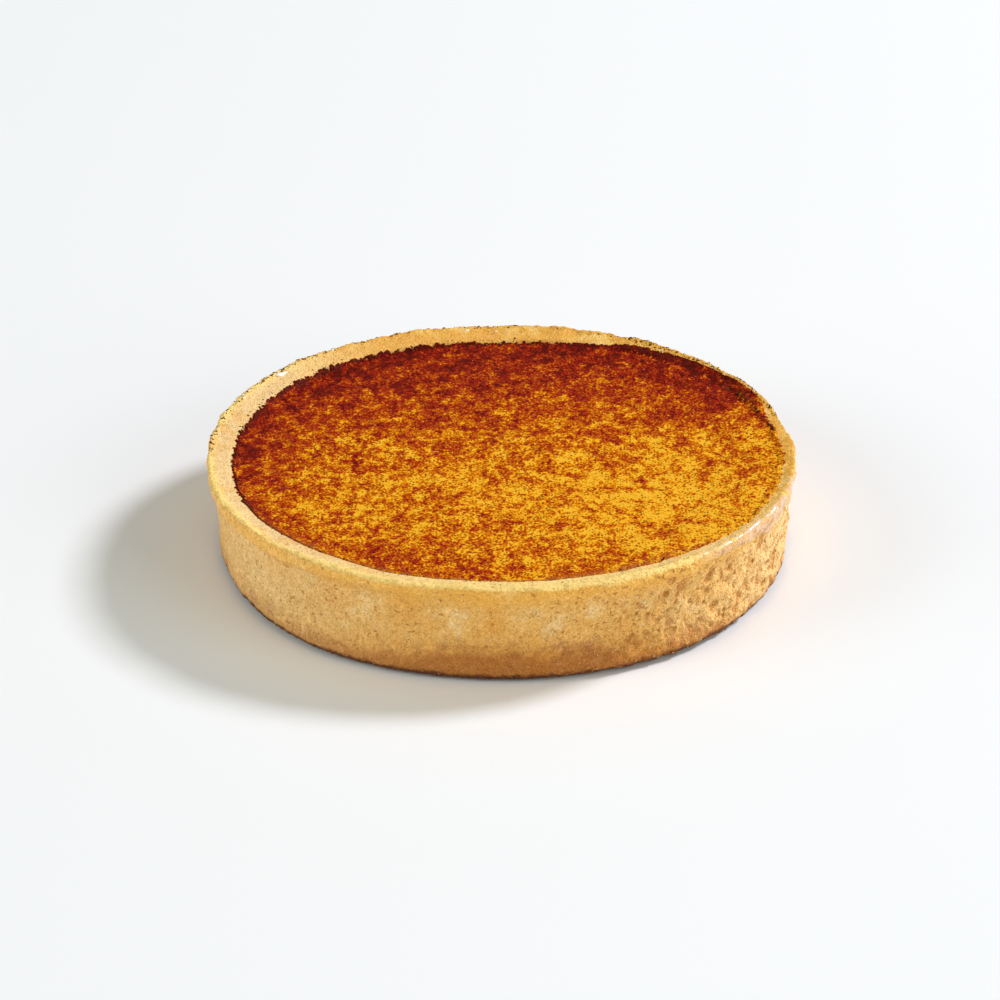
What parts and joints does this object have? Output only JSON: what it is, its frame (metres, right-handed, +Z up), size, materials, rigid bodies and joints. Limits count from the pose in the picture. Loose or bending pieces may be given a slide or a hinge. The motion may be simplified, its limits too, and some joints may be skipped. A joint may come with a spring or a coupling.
{
  "type": "creme brulee tartlet",
  "caption": "Round individual tartlet: a shallow shortcrust case with a rounded, slightly overhanging rim, filled with custard whose caramelised top is torched brown.",
  "frame": {"origin": "middle of the flat base, where the tartlet stands on its plate", "axes": "+Z up through the tartlet's top, -Y towards the front, +X to the right"},
  "size_m": [0.0992, 0.0998, 0.0177],
  "materials": {
    "pastry": "baked short pastry: matt, fine grained, tan, paler on the rim and browner at the foot",
    "torched_custard": "set custard with a thin torched caramel skin: golden yellow, mottled dark red-brown, satin to glossy"
  },
  "bodies": {
    "root": {"pastry_case": "pastry", "custard_filling": "torched_custard"}
  },
  "joints": []
}
